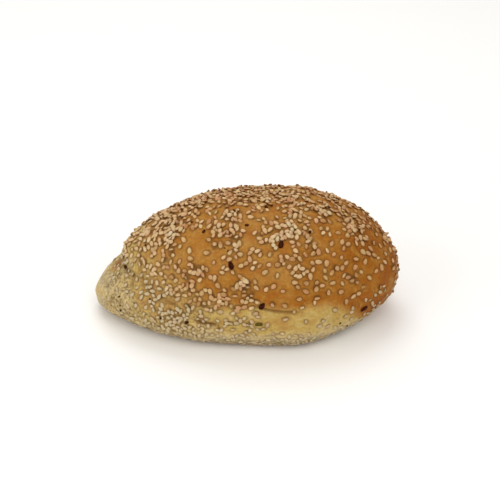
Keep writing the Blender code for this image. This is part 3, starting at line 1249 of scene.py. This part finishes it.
@dataclass
class DarkFlecks(FrontScatter):
    """Small dark flecks on the front, among the seeds and on the nose."""

    name: str = "dark_flecks"
    places: Rows = (
        (9.6, 65.2, 30, 2.4), (12.4, 65.2, 80, 1.4), (-6.5, 64.7, 20, 1.6), (0.0, 61.8, 10, 2.2),
        (-21.3, 57.8, 80, 2.2), (31.1, 58.4, 40, 2.0), (-9.3, 52.8, 60, 1.1), (-11.0, 53.6, 10, 0.9),
        (-32.4, 58.4, 15, 1.9), (-27.6, 58.8, 50, 1.4), (-51.4, 45.6, 30, 1.3), (-62.4, 31.0, 10, 2.8),
        (-65.3, 20.8, 50, 1.4), (-65.0, 16.4, 20, 1.1), (-64.8, 13.5, 70, 1.5), (-29.9, 17.9, 15, 2.4),
        (-43.1, 17.4, 60, 1.7), (-48.7, 25.2, 35, 1.2), (46.9, 13.6, 40, 1.3), (51.0, 9.0, 25, 1.1),
        (-57.0, 21.0, 5, 0.8),
    )
    flatness: tuple[float, float] = (0.7, 0.6)
    shape: SeedShape = SeedShape(sides=6, rings=5, taper=0.2)
    finish: Finish = DarkHull(name="dark_fleck", dark="2a1004", light="5e3010", roughness=0.7)
    rise: float = 0.25


@dataclass
class HerbFlake:
    """A flake of dried herb stuck to the pale band: a thin, curled scrap of leaf."""

    crust: Crust
    length: float = 3.7 * MM
    width: float = 2.1 * MM
    thickness: float = 0.25 * MM
    lift: float = 0.25 * MM
    curl: float = 0.35 * MM
    x: float = 5.9 * MM
    z: float = 19.1 * MM
    turn: float = math.radians(188)
    cuts: int = 9
    finish: Finish = DarkHull(name="dried_herb_leaf", dark="483c12", light="6c5a20", roughness=0.7)

    def found(self) -> tuple[Places, Places]:
        """The crust behind the flake, as a point and a normal."""
        return self.crust.behind([(self.x, self.z)])

    def build(self) -> None:
        """Cuts the scrap from a grid, curls it, gives it a thickness and lays it on the crust."""
        deselect_all()
        bpy.ops.mesh.primitive_grid_add(x_subdivisions=self.cuts, y_subdivisions=self.cuts, size=1)
        flake = bpy.context.object
        flake.name = "herb_flake"
        points = points_of(flake)
        # The square becomes a leaf scrap: narrow at its ends and ragged along its edge.
        narrowing = np.sqrt(np.clip(1 - (1.75 * points[:, 0]) ** 2, 0.12, 1))
        ragged = 1 + 0.16 * noise_at(points + 3, 0.22)
        along = points[:, 0] * self.length
        across = points[:, 1] * self.width * narrowing * ragged
        height = self.curl * (4 * points[:, 0] ** 2 - points[:, 1] ** 2)
        cos, sin = math.cos(self.turn), math.sin(self.turn)
        flat = np.stack((along * cos - across * sin, along * sin + across * cos, height), axis=1)
        (place,), (normal,) = self.found()
        lies = np.array(Vector(normal).to_track_quat("Z", "Y").to_matrix())
        set_points(flake, flat @ lies.T + place + normal * self.lift)
        apply_modifier(flake, "SOLIDIFY", thickness=self.thickness, offset=0)
        dress(flake, self.finish.material())


@dataclass(frozen=True)
class SoftLight:
    """One large, soft studio light that points at the roll."""

    name: str
    place: tuple[float, float, float]
    size: float
    watts: float
    colour: str = "ffffff"


@dataclass
class Studio:
    """A plain pale floor, soft light and the camera of the reference view."""

    floor_size: float = 20.0
    floor_finish: PaintedFloor = PaintedFloor()
    world_colour: str = "ffffff"
    world_strength: float = 0.56
    lights: tuple[SoftLight, ...] = (
        SoftLight("key", (0.3, -0.75, 0.95), 1.0, 5.6, "fffaf2"),
        SoftLight("fill", (-0.85, -0.55, 0.5), 0.8, 3.2),
        SoftLight("back", (-0.1, 0.6, 1.1), 0.9, 5.2),
    )
    aim: tuple[float, ...] = mm(1.5, 0, 35)
    elevation: float = math.radians(31)
    distance: float = 545 * MM
    lens_mm: float = 75.0
    sensor_mm: float = 36.0

    def build(self) -> None:
        """Makes the floor, the world, the lights and the camera."""
        self.lay_floor()
        self.light_world()
        for light in self.lights:
            self.hang(light)
        self.set_camera()
        bpy.context.scene.view_settings.view_transform = "Standard"

    def lay_floor(self) -> None:
        """Lays the floor under the roll."""
        deselect_all()
        bpy.ops.mesh.primitive_plane_add(size=self.floor_size)
        floor = bpy.context.object
        floor.name = "studio_floor"
        floor.data.materials.append(self.floor_finish.material())

    def light_world(self) -> None:
        """Fills the room with even light."""
        world = bpy.data.worlds.new("studio_room")
        world.use_nodes = True
        tree = world.node_tree
        plug(tree, tree.nodes["Background"], {"Color": rgb(self.world_colour), "Strength": self.world_strength})
        bpy.context.scene.world = world

    def hang(self, light: SoftLight) -> None:
        """Hangs one light and points it at the roll.

        Args:
            light: The light's place, size and strength.
        """
        lamp = bpy.data.lights.new(light.name, "AREA")
        lamp.shape = "DISK"
        lamp.size = light.size
        lamp.energy = light.watts
        lamp.color = rgb(light.colour)[:3]
        holder = bpy.data.objects.new(light.name, lamp)
        holder.location = light.place
        holder.rotation_euler = (Vector(self.aim) - Vector(light.place)).to_track_quat("-Z", "Y").to_euler()
        bpy.context.scene.collection.objects.link(holder)

    def set_camera(self) -> None:
        """Sets up the camera in front of the roll, looking a little down on it."""
        lens = bpy.data.cameras.new("camera")
        lens.lens = self.lens_mm
        lens.sensor_width = self.sensor_mm
        lens.clip_start = 1 * MM
        camera = bpy.data.objects.new("camera", lens)
        back = Vector((0, -math.cos(self.elevation), math.sin(self.elevation)))
        camera.location = Vector(self.aim) + back * self.distance
        camera.rotation_euler = (-back).to_track_quat("-Z", "Y").to_euler()
        bpy.context.scene.collection.objects.link(camera)
        bpy.context.scene.camera = camera


def main() -> None:
    """Builds the pieces in order, and the studio round them."""
    logging.basicConfig(level=logging.INFO, format="%(message)s")
    crust = Crust(Dough())
    crust.build()
    dark_seeds = Linseeds(crust)
    flake = HerbFlake(crust)
    clear = np.vstack((dark_seeds.found()[0], flake.found()[0]))
    Sesame(crust, clear).build()
    dark_seeds.build()
    DarkFlecks(crust).build()
    flake.build()
    dress(crust.piece, BakedCrust().material())
    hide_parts(ROLL_NODE)
    Studio().build()


if __name__ == "__main__":
    main()
